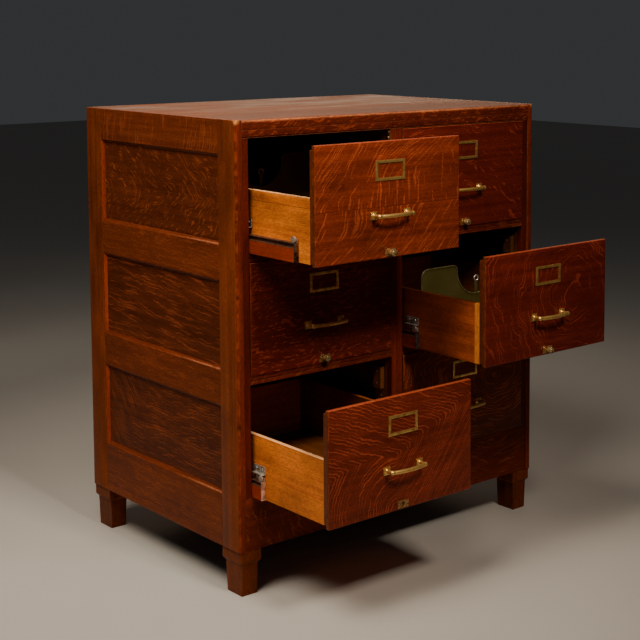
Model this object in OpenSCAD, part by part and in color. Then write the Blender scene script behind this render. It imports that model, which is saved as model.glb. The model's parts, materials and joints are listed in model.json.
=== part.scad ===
// Six-drawer oak filing cabinet, legal size, standing on four short feet.
// Units are millimetres.  X runs along the front, Y from front to back and Z up.
// The origin lies on the floor, under the middle of the space that the cabinet takes up
// with three of its drawers pulled out, as they stand in the photograph.

/* [Case] */
// Width over the two side frames
case_w = 1000; // [900:1:1100]
// Depth from the faces of the posts to the back
case_d = 710; // [680:1:780]
// Thickness of the side frames
side_t = 19; // [18:1:24]
// Thickness of the framed back
back_t = 20; // [16:1:24]
// Thickness of the top board
top_t = 24; // [18:1:30]
// Height of the top board's front edge
top_edge_h = 40; // [34:1:48]
// Radius along the top board's front edge
top_edge_r = 9; // [4:1:12]
// Radius of the posts' outer edges
post_r = 7; // [3:1:9]

/* [Front frame] */
// Width of the sunk strip between a post and its drawers
jamb_w = 19; // [14:1:26]
// Width of the stile between the two columns of drawers
mullion_w = 36; // [32:1:46]
// Height of the rails between the drawers
rail_h = 19.5; // [16:0.5:26]
// Height of the board below the lowest drawers
apron_h = 128.5; // [90:0.5:150]
// Height of the thin strip above the highest drawers
lip_h = 3.5; // [2:0.5:6]
// Thickness of the front frame
frame_t = 19; // [16:1:22]
// How far the front frame lies behind the posts
frame_sink = 3; // [1:0.5:4]
// Size of the bead cut along the rails and the middle stile
bead = 2; // [1:0.5:3]

/* [Side and back framing] */
// Width of the front stiles of the sides
front_stile_w = 75; // [60:1:90]
// Width of the rear stiles of the sides
rear_stile_w = 80; // [60:1:95]
// Height of the top rails of the sides
top_rail_h = 82.5; // [60:0.5:100]
// Height of the two middle rails of the sides
mid_rail_h = 87; // [60:0.5:100]
// Height of the bottom rails of the sides
bottom_rail_h = 131.5; // [100:0.5:150]
// Thickness of the panels
panel_t = 6; // [4:0.5:7]
// How far the panels lie behind the face of their frame
panel_sink = 8; // [4:0.5:10]
// Width of the moulding round each panel
moulding_w = 7; // [4:0.5:10]
// Width of the stiles and rails of the back
back_stile_w = 70; // [50:1:90]
// Thickness of the wall between the two columns of drawers
inner_wall_t = 12; // [9:1:18]
// Thickness of the bottom board
board_t = 12; // [8:1:16]

/* [Feet] */
// Height of the feet
foot_h = 113; // [80:1:140]
// Height of the collar at the top of each foot
collar_h = 28; // [18:1:36]
// Height of the slope below the collar
collar_slope_h = 7; // [4:1:10]
// Width of a foot at the floor
foot_w = 45; // [36:1:56]
// Depth of a foot at the floor
foot_d = 62; // [50:1:74]
// Distance of a foot's outer sides from the case's sides, at the floor
foot_inset = 12; // [8:1:16]
// How far a foot widens on each side from the floor to its slope
foot_taper = 2; // [0:0.5:3]
// How far the collar stands out from the foot's top on each side
collar_step = 6; // [3:0.5:8]

/* [Drawers] */
// Height of each drawer opening
bay_h = 277; // [265:1:300]
// Gap round a drawer front
front_gap = 1.5; // [1:0.25:3]
// Thickness of the oak fronts
front_t = 11; // [8:1:22]
// Radius of the fronts' edges
front_ease = 2; // [1:0.5:3]
// Thickness of the inner front
inner_front_t = 21; // [10:1:24]
// How much lower the inner front is than the oak front
inner_front_drop = 12; // [6:1:18]
// How far the inner front lies in from the oak front's ends
inner_front_inset = 10; // [3:1:11]
// Gap between the closed drawers and the back
box_rear_gap = 18; // [12:1:60]
// Height of the drawer sides
box_h = 151.5; // [130:0.5:170]
// Thickness of the drawer sides
box_side_t = 11; // [9:0.5:14]
// Thickness of the drawer bottom
box_bottom_t = 6; // [4:0.5:8]
// Height of the drawer sides' lower edge above the front's lower edge
box_lift = 1.5; // [1:0.5:3]

/* [Card frame and rod plate] */
// Width of the card frame
card_w = 89.5; // [70:0.5:100]
// Height of the card frame
card_h = 48; // [40:0.5:60]
// Width of the card frame's band
card_band = 7; // [4:0.5:9]
// Thickness of the card frame
card_t = 2.2; // [1.2:0.1:3]
// Height of the card frame's lower edge above the front's lower edge
card_z = 182; // [170:1:195]
// Width of the brass plate round the guide rod
rod_plate_w = 33; // [26:1:40]
// Height of that plate
rod_plate_h = 18; // [14:1:22]
// Thickness of that plate
rod_plate_t = 1.6; // [1:0.1:2.5]

/* [Pull] */
// Distance between the pull's two posts
pull_span = 101.5; // [90:0.5:120]
// Height of the pull above the front's lower edge
pull_z = 102.5; // [80:0.5:130]
// Distance of the bar's ends from the front
pull_reach = 22; // [18:0.5:30]
// How far the middle of the bar bows out beyond its ends
pull_bow = 8; // [4:0.5:12]
// Radius of the bar
pull_r = 4.9; // [3:0.1:5.5]
// Width of a foot plate of the pull
rosette_w = 19.5; // [14:0.5:22]
// Thickness of a foot plate of the pull
rosette_t = 2.5; // [1.5:0.1:4]

/* [Guide rod and follower] */
// Radius of the guide rod
rod_r = 3.5; // [2.5:0.1:4]
// Height of the guide rod above the front's lower edge
rod_z = 12.5; // [12.5:0.5:16]
// Radius of the guide rod's knob
knob_r = 8; // [6:0.5:9]
// Length of the guide rod's knob
knob_l = 14; // [8:0.5:16]
// Thickness of the follower's sheet
sheet_t = 1.4; // [1:0.1:2]
// Height of the follower's top edge above the front's lower edge
follower_z = 203; // [185:1:215]
// Radius of the follower's outer corners
follower_corner_r = 20; // [10:1:30]
// Radius of the notch in the follower
notch_r = 69; // [50:1:80]
// Radius where the notch runs out into the top edge
notch_lip_r = 14; // [8:1:18]
// Radius of the rolled edge of the follower
rolled_r = 2.6; // [1.8:0.1:3.2]
// Depth of the follower's foot
follower_foot_d = 62; // [50:1:80]

/* [Slides] */
// Gap between the slides and the back, with the slides pushed in
slide_rear_gap = 27; // [20:1:60]
// Height of a slide's wooden bar
slide_wood_h = 32; // [26:1:38]
// Height of the steel track on top of it
track_h = 13; // [11:0.5:15]
// Thickness of the track's flanges and web
track_t = 2; // [1.5:0.1:2.5]
// Thickness of the plate on a slide's front end
end_plate_t = 3; // [2:0.5:4]
// Radius of the stop stud on a slide's front end
stud_r = 7.5; // [6:0.5:9]
// How far a drawer runs out over its slides
drawer_travel = 230; // [200:1:260]
// How far the slides run out of the case
slide_travel = 340; // [280:1:360]
// Depth of the posts beside the bays, behind the front frame
bay_post_d = 45; // [40:1:60]
// Width, depth and height of the blocks on them that keep a drawer from tipping
tip_block = [12, 30, 58];
// Height of those blocks above the front's lower edge
tip_block_z = 186; // [175:1:200]

/* [Positions in the photograph] */
// Distance that the top left drawer stands open
top_left_open = 252; // [0:1:500]
// Distance that its slides stand out
top_left_slides_out = 209; // [22:1:300]
// Distance that the middle right drawer stands open
middle_right_open = 306; // [0:1:500]
// Distance that its slides stand out
middle_right_slides_out = 82; // [76:1:300]
// Distance that the bottom left drawer stands open
bottom_left_open = 296; // [0:1:500]
// Distance that its slides stand out
bottom_left_slides_out = 70; // [66:1:290]
// Share of the drawer's length in front of the follower, in the middle right drawer
middle_right_filled = 0.361; // [0.05:0.001:0.88]
// The same share in the other drawers
others_filled = 0.7625; // [0.05:0.0005:0.88]

/* [Hidden] */
$fn = 48;
glue = 0.1;
run = 0.3;
seat = 0.1;
arc_n = 6;

most_open = max(top_left_open, middle_right_open, bottom_left_open);
front_y = (most_open + pull_reach + pull_bow + pull_r - case_d) / 2;
bay_w = (case_w - 2 * (side_t + jamb_w) - mullion_w) / 2;
case_h = foot_h + apron_h + 3 * bay_h + 2 * rail_h + lip_h + top_edge_h;
inner_d = case_d - back_t;
panel_h = (case_h - foot_h - top_rail_h - 2 * mid_rail_h - bottom_rail_h) / 3;
frame_back = frame_sink + frame_t;

front_w = bay_w - 2 * front_gap;
front_h = bay_h - 2 * front_gap;
box_u = front_t + inner_front_t;
box_l = inner_d - box_rear_gap - box_u;
slide_side_gap = 0.9;
slide_x1 = bay_w / 2 - slide_side_gap;
slide_t = 11.5;
slide_x0 = slide_x1 - slide_t;
box_half_w = slide_x0 - 0.5;
inside_half_w = box_half_w - box_side_t;
floor_z = box_lift + box_bottom_t;

slide_z = 2;
track_z = slide_z + slide_wood_h;
slide_top = track_z + track_h;
track_recess = (slide_t - track_t) / 2;
stud_z = slide_top + stud_r;
stud_u = 8;
screw_head = 0.8;
flange_z = stud_z + stud_r + run;
slide_u = box_u + screw_head + run;
slide_l = inner_d - slide_rear_gap - slide_u;
tail_stop_l = 12;
bracket_u = slide_u + drawer_travel - 4;
lug_u = slide_u + drawer_travel + stud_u + stud_r + 2;
roller_r = (track_h - 2 * track_t) / 2 - run;
roller_z = track_z + track_h / 2;
roller_u = bracket_u + 30;
roller_w = track_recess - 2 * run - 0.2;
pin_r = 1.6;
runner_u = frame_back + 0.5;
runner_l = inner_d - runner_u - 2 * glue;
shoe_l = 40;
shoe_tail_gap = 22;
shoe_u = slide_u + slide_l - shoe_tail_gap - shoe_l;
follower_side_gap = 1.5;
follower_low = floor_z + 0.5;
follower_half_w = inside_half_w - rolled_r - follower_side_gap;

// Each drawer: name, column (-1 left, 1 right), row from the bottom,
// how far it stands open, how far its slides stand out, share of its length before its follower.
DRAWERS = [
    ["top_left", -1, 2, top_left_open, top_left_slides_out, others_filled],
    ["top_right", 1, 2, 0, 0, others_filled],
    ["middle_left", -1, 1, 0, 0, others_filled],
    ["middle_right", 1, 1, middle_right_open, middle_right_slides_out, middle_right_filled],
    ["bottom_left", -1, 0, bottom_left_open, bottom_left_slides_out, others_filled],
    ["bottom_right", 1, 0, 0, 0, others_filled],
];

// Middle of a column of drawers, and lower edge of the drawer fronts of a row
function column_x(c) = c * (mullion_w + bay_w) / 2;
function opening_z(r) = foot_h + apron_h + r * (bay_h + rail_h);
function front_z(r) = opening_z(r) + front_gap;

// Points along an arc
function arc(cx, cy, r, from, to, n = arc_n) =
    [for (i = [0:n]) let (a = from + (to - from) * i / n) [cx + r * cos(a), cy + r * sin(a)]];

// Moves what stands in a drawer's own frame to its bay.
// There X is measured from the bay's middle, Y back from the front's face and Z up from its lower edge.
module in_bay(column, row, out = 0) {
    translate([column_x(column), front_y - out, front_z(row)]) children();
}

// Both ends or sides of a thing that is the same left and right
module both_sides() {
    children();
    mirror([1, 0, 0]) children();
}

// A cylinder along Y or X, from a named starting point
module along_y(r, l) {
    rotate([-90, 0, 0]) cylinder(r = r, h = l);
}
module along_x(r, l) {
    rotate([0, 90, 0]) cylinder(r = r, h = l);
}

// An outline in X and Z, extruded along Y; and one in Y and Z, extruded along X
module profile_xz(l) {
    translate([0, l, 0]) rotate([90, 0, 0]) linear_extrude(l) children();
}
module profile_yz(l) {
    rotate([90, 0, 90]) linear_extrude(l) children();
}

// Case

// A board with a rounded front edge, and a strip under that edge that makes it look thicker
module case_top() {
    width = case_w - 2 * side_t - 2 * glue;
    color("sienna") translate([-width / 2, front_y, 0]) {
        profile_yz(width) polygon(concat(
            [[0, case_h - top_t]],
            arc(top_edge_r, case_h - top_edge_r, top_edge_r, 180, 90),
            [[case_d, case_h], [case_d, case_h - top_t]]
        ));
        translate([0, 0, case_h - top_edge_h]) cube([width, frame_back, top_edge_h - top_t - glue]);
    }
}

// Outline of a post seen from above, with its outer front edge rounded
module post_outline(w) {
    polygon(concat(
        arc(post_r, post_r, post_r, 270, 180),
        [[0, w], [side_t, w], [side_t, 0]]
    ));
}

module side_frame() {
    rail_l = case_d - front_stile_w - rear_stile_w - 2 * glue;
    rails = [
        [case_h - top_rail_h, top_rail_h],
        [case_h - top_rail_h - panel_h - mid_rail_h, mid_rail_h],
        [case_h - top_rail_h - 2 * panel_h - 2 * mid_rail_h, mid_rail_h],
        [foot_h, bottom_rail_h],
    ];
    translate([-case_w / 2, front_y, foot_h])
        linear_extrude(case_h - foot_h) post_outline(front_stile_w);
    translate([-case_w / 2, front_y + case_d, foot_h])
        mirror([0, 1, 0]) linear_extrude(case_h - foot_h) post_outline(rear_stile_w);
    for (rail = rails)
        translate([-case_w / 2, front_y + front_stile_w + glue, rail[0]])
            cube([side_t, rail_l, rail[1]]);
}

module side_frames() {
    color("peru") both_sides() side_frame();
}

// Bevelled strip along the lower edge of a panel, with mitred ends.
// It lies in Y and Z, with its outer side towards -X.
module moulding(l) {
    crest = 1;
    back = panel_sink - glue;
    intersection() {
        translate([0, l, 0]) rotate([90, 0, 0]) linear_extrude(l)
            polygon([[crest, 0], [back, moulding_w], [back, 0]]);
        profile_yz(panel_sink) polygon([
            [glue, 0], [l - glue, 0], [l - moulding_w - glue, moulding_w], [moulding_w + glue, moulding_w],
        ]);
    }
}

// One sunk panel with a moulding along each of its four edges
module side_panel(d, h) {
    translate([panel_sink, 0, 0]) cube([panel_t, d, h]);
    moulding(d);
    translate([0, d, 0]) rotate([90, 0, 0]) moulding(h);
    translate([0, d, h]) rotate([180, 0, 0]) moulding(d);
    translate([0, 0, h]) rotate([-90, 0, 0]) moulding(h);
}

module side_panels() {
    d = case_d - front_stile_w - rear_stile_w - 4 * glue;
    h = panel_h - 2 * glue;
    color("saddlebrown") both_sides() for (i = [0:2])
        translate([
            -case_w / 2,
            front_y + front_stile_w + 2 * glue,
            foot_h + bottom_rail_h + i * (panel_h + mid_rail_h) + glue,
        ]) side_panel(d, h);
}

// Framed back: two stiles, a middle stile, two rails and two thin panels
module case_back() {
    w = case_w - 2 * side_t - 2 * glue;
    h = case_h - top_t - foot_h - glue;
    field_w = (w - 3 * back_stile_w) / 2;
    field_h = h - 2 * back_stile_w;
    color("peru") translate([-w / 2, front_y + inner_d, foot_h]) {
        for (i = [0:2])
            translate([i * (back_stile_w + field_w), 0, 0]) cube([back_stile_w, back_t, h]);
        for (i = [0:1], z = [0, h - back_stile_w])
            translate([back_stile_w + glue + i * (back_stile_w + field_w), 0, z])
                cube([field_w - 2 * glue, back_t, back_stile_w]);
        for (i = [0:1])
            translate([
                back_stile_w + glue + i * (back_stile_w + field_w),
                (back_t - panel_t) / 2,
                back_stile_w + glue,
            ]) cube([field_w - 2 * glue, panel_t, field_h - 2 * glue]);
    }
}

// Rail or stile of the front frame, with a bead cut along the middle of its face
module beaded_strip(w, h) {
    cut = w > h ? [w + 2, 1 + bead, bead] : [bead, 1 + bead, h + 2];
    difference() {
        cube([w, frame_t, h]);
        translate([(w - cut[0]) / 2, -1, (h - cut[2]) / 2]) cube(cut);
    }
}

module front_frame() {
    apron_top = foot_h + apron_h;
    openings_top = opening_z(2) + bay_h;
    inner_w = case_w - 2 * side_t;
    color("sienna") translate([0, front_y + frame_sink, 0]) {
        // Apron across the whole front
        translate([-inner_w / 2 + glue, 0, foot_h]) cube([inner_w - 2 * glue, frame_t, apron_h]);
        // Sunk strips beside the posts
        both_sides() translate([-inner_w / 2 + glue, 0, apron_top + glue])
            cube([jamb_w - glue, frame_t, openings_top - apron_top - glue]);
        // Stile between the columns
        translate([-mullion_w / 2, 0, apron_top + glue])
            beaded_strip(mullion_w, openings_top - apron_top - glue);
        // Rails between the rows
        for (c = [-1, 1], r = [0, 1])
            translate([column_x(c) - bay_w / 2 + glue, 0, opening_z(r) + bay_h])
                beaded_strip(bay_w - 2 * glue, rail_h);
        // Thin strip under the top
        translate([-inner_w / 2 + glue, 0, openings_top + glue])
            cube([inner_w - 2 * glue, frame_t, lip_h - 2 * glue]);
    }
}

// Wall between the two columns of drawers, and the bottom board
module inner_case() {
    board_z = foot_h + apron_h - rail_h - board_t;
    y0 = front_y + frame_back + glue;
    l = inner_d - frame_back - 2 * glue;
    color("burlywood") {
        translate([-inner_wall_t / 2, y0, board_z + board_t + glue])
            cube([inner_wall_t, l, case_h - top_t - board_z - board_t - 2 * glue]);
        translate([-case_w / 2 + side_t + glue, y0, board_z])
            cube([case_w - 2 * side_t - 2 * glue, l, board_t]);
    }
}

// Right-hand runner of a bay: a batten on the wall, a ledge under the slide
// and a tongue that runs in the slide's steel track.
// The tongue ends where the stop on the slide's tail meets it with the slide fully out.
module runner(wall) {
    low = -front_gap - rail_h;
    tongue_t = track_h - 2 * track_t - 2 * run;
    tongue_w = track_recess + slide_side_gap - run;
    tongue_u = slide_u + end_plate_t + 1;
    tongue_end = slide_u + slide_l - tail_stop_l - slide_travel - 1;
    ledge_w = slide_t + slide_side_gap - 1;
    translate([bay_w / 2, runner_u, low]) cube([wall, runner_l, slide_top - low]);
    translate([bay_w / 2 - ledge_w, runner_u, low])
        cube([ledge_w - glue, runner_l, slide_z - run - low]);
    translate([bay_w / 2 - tongue_w, tongue_u, roller_z - tongue_t / 2])
        cube([tongue_w - glue, tongue_end - tongue_u, tongue_t]);
}

// Right-hand post of a bay, and the block on it that keeps a drawer from tipping
module bay_post(wall) {
    low = slide_top + glue;
    translate([bay_w / 2, runner_u, low]) cube([wall, bay_post_d, bay_h - front_gap - glue - low]);
    translate([bay_w / 2 - tip_block[0], box_u + 2, tip_block_z])
        cube([tip_block[0] - glue, tip_block[1], tip_block[2]]);
}

// Runners and posts on both sides of every bay
module case_runners() {
    color("tan") for (c = [-1, 1], r = [0:2], s = [-1, 1]) {
        wall = (c == s ? jamb_w : (mullion_w - inner_wall_t) / 2) - glue;
        in_bay(c, r) mirror([s < 0 ? 1 : 0, 0, 0]) {
            runner(wall);
            bay_post(wall);
        }
    }
}

// Tapered box on the floor plane: sizes at the bottom and how far each side moves out over the height
module tapered_block(w, d, h, out) {
    intersection() {
        translate([0, d / 2 + out, 0]) rotate([90, 0, 0]) linear_extrude(d + 2 * out)
            polygon([[-w / 2, 0], [w / 2, 0], [w / 2 + out, h], [-w / 2 - out, h]]);
        translate([-w / 2 - out, 0, 0]) rotate([90, 0, 90]) linear_extrude(w + 2 * out)
            polygon([[-d / 2, 0], [d / 2, 0], [d / 2 + out, h], [-d / 2 - out, h]]);
    }
}

module foot() {
    shaft_h = foot_h - collar_h - collar_slope_h;
    w1 = foot_w + 2 * foot_taper;
    d1 = foot_d + 2 * foot_taper;
    tapered_block(foot_w, foot_d, shaft_h, foot_taper);
    translate([0, 0, shaft_h]) tapered_block(w1, d1, collar_slope_h, collar_step);
    translate([-w1 / 2 - collar_step, -d1 / 2 - collar_step, foot_h - collar_h])
        cube([w1 + 2 * collar_step, d1 + 2 * collar_step, collar_h - glue]);
}

module feet() {
    foot_x = case_w / 2 - foot_inset - foot_w / 2;
    y0 = front_y + foot_inset + foot_d / 2;
    y1 = front_y + case_d - foot_inset - foot_d / 2;
    color("sienna") for (x = [-foot_x, foot_x], y = [y0, y1]) translate([x, y, 0]) foot();
}

// Drawers

// Outline of a board seen from its end, with both front edges rounded
module eased_outline(w, t) {
    r = front_ease;
    polygon(concat(
        arc(-w / 2 + r, r, r, 180, 270),
        arc(w / 2 - r, r, r, 270, 360),
        [[w / 2, t], [-w / 2, t]]
    ));
}

module drawer_front() {
    color("sienna") difference() {
        intersection() {
            linear_extrude(front_h) eased_outline(front_w, front_t);
            translate([-front_w / 2, 0, front_h / 2]) rotate([90, 0, 90])
                linear_extrude(front_w) rotate(-90) mirror([1, 0, 0])
                    eased_outline(front_h, front_t);
        }
        translate([0, -1, rod_z]) along_y(rod_r + run, front_t + 2);
    }
}

// Inner front, two sides, back and bottom, each its own board
module drawer_box() {
    half_w = inside_half_w - glue;
    inner_w = front_w - 2 * inner_front_inset;
    inner_z = 4;
    color("goldenrod") {
        difference() {
            translate([-inner_w / 2, front_t + glue, inner_z])
                cube([inner_w, inner_front_t - 2 * glue, front_h - inner_front_drop - inner_z]);
            translate([0, front_t, rod_z]) along_y(rod_r + run, inner_front_t);
        }
        both_sides() translate([inside_half_w, box_u, box_lift])
            cube([box_side_t, box_l, box_h]);
        translate([-half_w, box_u, box_lift]) cube([2 * half_w, box_l, box_bottom_t]);
        difference() {
            translate([-half_w, box_u + box_l - box_side_t, floor_z + glue])
                cube([2 * half_w, box_side_t, box_h - box_bottom_t - glue]);
            translate([0, box_u + box_l - box_side_t - 1, rod_z])
                along_y(rod_r + run, box_side_t + 2);
        }
    }
}

// Brass pull: two square foot plates, turned posts and a bar that bows outwards
module pull_post() {
    throat_r = pull_r - 0.4;
    flare = 4;
    collar = 0.8;
    translate([-rosette_w / 2, -rosette_t, -rosette_w / 2]) cube([rosette_w, rosette_t, rosette_w]);
    rotate([90, 0, 0]) rotate_extrude() polygon(concat(
        [[0, rosette_t - collar], [throat_r + flare, rosette_t - collar]],
        arc(throat_r + flare, rosette_t + collar + flare, flare, 270, 180),
        [[throat_r, pull_reach], [0, pull_reach]]
    ));
    translate([0, -pull_reach, 0]) sphere(r = pull_r + 1);
}

module pull() {
    half = pull_span / 2;
    bow_r = (half * half + pull_bow * pull_bow) / (2 * pull_bow);
    swing = asin(half / bow_r);
    color("darkgoldenrod") translate([0, 0, pull_z]) {
        both_sides() translate([half, 0, 0]) pull_post();
        translate([0, bow_r - pull_bow - pull_reach, 0]) rotate([0, 0, -90 - swing])
            rotate_extrude(angle = 2 * swing) translate([bow_r, 0]) circle(r = pull_r);
    }
}

// Card frame with its two nails, and the plate round the guide rod with its two screws
module fittings() {
    nail_r = 1.8;
    nail_l = 1;
    nail_head = 0.6;
    screw_x = rod_plate_w / 2 - 5;
    inner_w = card_w - 2 * card_band;
    inner_h = card_h - 2 * card_band;
    color("darkgoldenrod") {
        difference() {
            translate([-card_w / 2, -card_t, card_z]) cube([card_w, card_t, card_h]);
            translate([-inner_w / 2, -card_t - 1, card_z + card_band])
                cube([inner_w, card_t + 2, inner_h]);
        }
        both_sides() translate([(card_w - card_band) / 2, -card_t - nail_head, card_z + card_h / 2])
            along_y(nail_r, nail_l);
        difference() {
            translate([-rod_plate_w / 2, -rod_plate_t, rod_z - rod_plate_h / 2])
                cube([rod_plate_w, rod_plate_t, rod_plate_h]);
            translate([0, -rod_plate_t - 1, rod_z]) along_y(rod_r + run, rod_plate_t + 2);
        }
        both_sides() translate([screw_x, -rod_plate_t - nail_head, rod_z]) along_y(nail_r, nail_l);
    }
}

// Guide rod with a milled knob
module guide_rod() {
    teeth = 18;
    flute = 0.7;
    neck_l = 2;
    button_l = 1;
    knob_u = -rod_plate_t - seat - run;
    rod_end = box_u + box_l - 2;
    rim = [for (i = [0:2 * teeth - 1])
        let (r = knob_r - (i % 2) * flute, a = 180 * i / teeth) [r * cos(a), r * sin(a)]];
    color("silver") translate([0, 0, rod_z]) {
        translate([0, knob_u - neck_l, 0]) along_y(rod_r, rod_end - knob_u + neck_l);
        translate([0, knob_u - neck_l, 0]) along_y(knob_r - 2, neck_l);
        translate([0, knob_u - neck_l, 0]) rotate([90, 0, 0])
            linear_extrude(knob_l - neck_l) polygon(rim);
        translate([0, knob_u - knob_l - button_l, 0]) along_y(knob_r - 2.5, button_l + 1);
    }
}

// Follower plate outline in X and Z: right half, from the foot of the outer edge to the notch's bottom
function notch_z() = follower_z - notch_lip_r;
function notch_lip_x() = notch_r + notch_lip_r;
function follower_half() = concat(
    [[follower_half_w, follower_low]],
    arc(follower_half_w - follower_corner_r, follower_z - follower_corner_r, follower_corner_r, 0, 90),
    arc(notch_lip_x(), notch_z(), notch_lip_r, 90, 180),
    arc(0, notch_z(), notch_r, 0, -90, 2 * arc_n)
);
function mirrored(points) = [for (i = [len(points) - 1:-1:0]) [-points[i][0], points[i][1]]];

// Tube that follows an arc of the sheet's edge
module rolled_arc(cx, cz, r, from, to) {
    translate([cx, 0, cz]) rotate([90, 0, 0]) rotate([0, 0, from])
        rotate_extrude(angle = to - from) translate([r, 0]) circle(r = rolled_r, $fn = 24);
}

// Green painted sheet with a rolled edge, a foot that runs on the guide rod and a lever with a ring
module follower() {
    corner_z = follower_z - follower_corner_r;
    corner_x = follower_half_w - follower_corner_r;
    notch_bottom = notch_z() - notch_r;
    brace_below_notch = 24;
    brace_h = notch_bottom - brace_below_notch - follower_low;
    brace_l = follower_foot_d - 4;
    brace_toe_h = 6;
    foot_plate_w = 60;
    saddle = [24, 44, rod_z + rod_r + 6 - follower_low];
    lever_x = 6;
    lever_w = 10;
    lever_t = 2.4;
    lever_u = sheet_t + 3;
    lever_z = follower_low + saddle[2] - 2;
    lever_below_lip = 36;
    lever_l = notch_z() - lever_below_lip - lever_z;
    small_hole_below_notch = 36;
    small_hole_r = 3;
    ring_r = 7;
    wire_r = 1.6;
    color("darkolivegreen") {
        difference() {
            profile_xz(sheet_t) polygon(concat(follower_half(), mirrored(follower_half())));
            translate([0, -1, rod_z]) along_y(rod_r + run, sheet_t + 2);
            translate([0, -1, notch_bottom - small_hole_below_notch])
                along_y(small_hole_r, sheet_t + 2);
        }
        // Rolled edge
        translate([0, sheet_t / 2, 0]) {
            both_sides() {
                translate([follower_half_w, 0, follower_low])
                    cylinder(r = rolled_r, h = corner_z - follower_low, $fn = 24);
                rolled_arc(corner_x, corner_z, follower_corner_r, 0, 90);
                translate([notch_lip_x(), 0, follower_z])
                    rotate([0, 90, 0]) cylinder(r = rolled_r, h = corner_x - notch_lip_x(), $fn = 24);
                rolled_arc(notch_lip_x(), notch_z(), notch_lip_r, 90, 180);
            }
            rolled_arc(0, notch_z(), notch_r, 180, 360);
        }
        // Foot plate, and the saddle that holds the rod
        both_sides() translate([saddle[0] / 2 - 1, sheet_t / 2, follower_low])
            cube([foot_plate_w, follower_foot_d, sheet_t]);
        difference() {
            translate([-saddle[0] / 2, sheet_t / 2, follower_low]) cube(saddle);
            translate([0, -1, rod_z]) along_y(rod_r + run, saddle[1] + 4);
        }
        // Braces from the sheet down to the foot plate
        both_sides()
            translate([(saddle[0] + foot_plate_w) / 2, sheet_t / 2, follower_low + sheet_t / 2])
                profile_yz(sheet_t) polygon([[0, 0], [brace_l, 0], [brace_l, brace_toe_h], [0, brace_h]]);
        // Lever
        translate([lever_x - lever_w / 2, lever_u, lever_z]) cube([lever_w, lever_t, lever_l]);
        translate([lever_x, lever_u + lever_t / 2, lever_z + lever_l + ring_r]) rotate([90, 0, 0])
            rotate_extrude() translate([ring_r, 0]) circle(r = wire_r, $fn = 24);
    }
}

// Suspension

// Section of the steel track: two flanges and a web, open to the case and to the drawer
module track_outline() {
    w = slide_t;
    polygon([
        [0, 0], [w, 0], [w, track_t], [w - track_recess, track_t],
        [w - track_recess, track_h - track_t], [w, track_h - track_t],
        [w, track_h], [0, track_h], [0, track_h - track_t],
        [track_recess, track_h - track_t], [track_recess, track_t], [0, track_t],
    ]);
}

// Right-hand slide, measured back from the closed drawer's face
module slide() {
    ear = [3, 2 * stud_u, stud_r + 4];
    ear_x = 2;
    stud_l = 4;
    stud_core_r = 3;
    screw_r = 2.6;
    tail_grip = 0.5;
    translate([slide_x0, slide_u, 0]) {
        // Front end plate with its ear, the stop stud and the screw
        translate([0, 0, slide_z]) cube([slide_t, end_plate_t, slide_top - slide_z]);
        translate([ear_x, 0, slide_top - 1]) cube(ear);
        translate([ear_x, stud_u, stud_z]) along_x(stud_core_r, slide_t - ear_x - 1.5);
        translate([slide_t - stud_l - 1, stud_u, stud_z]) along_x(stud_r, stud_l);
        translate([slide_t / 2, -screw_head, slide_z + slide_wood_h / 2])
            along_y(screw_r, screw_head + end_plate_t / 2);
        // Wooden bar
        translate([0, end_plate_t + glue, slide_z])
            cube([slide_t, slide_l - end_plate_t - glue, slide_wood_h - glue]);
        // Steel track
        translate([0, end_plate_t + glue, track_z])
            profile_xz(slide_l - end_plate_t - glue) track_outline();
        // Stop on the tail of the track
        translate([
            slide_t - track_recess - tail_grip,
            slide_l - tail_stop_l,
            track_z + track_t - tail_grip,
        ]) cube([track_recess + tail_grip, tail_stop_l, track_h - 2 * track_t + 2 * tail_grip]);
    }
}

module slides() {
    color("firebrick") both_sides() slide();
}

// Steel bracket on a drawer's right side.  Its flange lands on the stop stud when the drawer is out,
// its lug meets the stud, and the roller pin and the rear shoe run in the slide's track.
module bracket() {
    plate_t = 2.4;
    plate_l = 44;
    flange_w = 9.5;
    flange_t = 2;
    plate_h = 20;
    screw_r = 3;
    screw_l = 1.6;
    screw_z = 12.4;
    lug = [flange_w, 3, 10];
    tongue = track_h - 2 * track_t - 2 * run;
    x = box_half_w + seat;
    translate([x, bracket_u, flange_z]) {
        cube([plate_t, plate_l, plate_h]);
        cube([flange_w, plate_l, flange_t]);
        for (y = [0.24, 0.76])
            translate([plate_t - 0.5, y * plate_l, screw_z]) along_x(screw_r, screw_l);
    }
    translate([x, lug_u, flange_z + flange_t / 2 - lug[2]]) cube(lug);
    translate([x, roller_u, roller_z]) along_x(pin_r, roller_w + 0.4);
    translate([x, shoe_u, roller_z - tongue / 2])
        cube([track_recess - run, shoe_l, tongue]);
}

module brackets() {
    color("gray") both_sides() bracket();
}

// Rollers on the bracket pins
module rollers() {
    color("silver") both_sides() translate([box_half_w + seat + run, roller_u, roller_z])
        difference() {
            along_x(roller_r, roller_w);
            translate([-1, 0, 0]) along_x(pin_r + 0.1, roller_w + 2);
        }
}

for (d = DRAWERS) {
    in_bay(d[1], d[2], d[3]) drawer_front();
    in_bay(d[1], d[2], d[3]) drawer_box();
    in_bay(d[1], d[2], d[3]) pull();
    in_bay(d[1], d[2], d[3]) fittings();
    in_bay(d[1], d[2], d[3]) brackets();
    in_bay(d[1], d[2], d[3]) rollers();
    in_bay(d[1], d[2], d[4]) slides();
}
// The bottom left drawer has no guide rod and no follower
for (d = [for (entry = DRAWERS) if (entry[0] != "bottom_left") entry]) {
    in_bay(d[1], d[2], d[3]) guide_rod();
    in_bay(d[1], d[2], d[3]) translate([0, box_u + d[5] * box_l, 0]) follower();
}

case_top();
side_frames();
side_panels();
case_back();
front_frame();
inner_case();
case_runners();
feet();
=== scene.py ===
import json
import math

import bpy
from mathutils import Matrix, Vector


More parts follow.
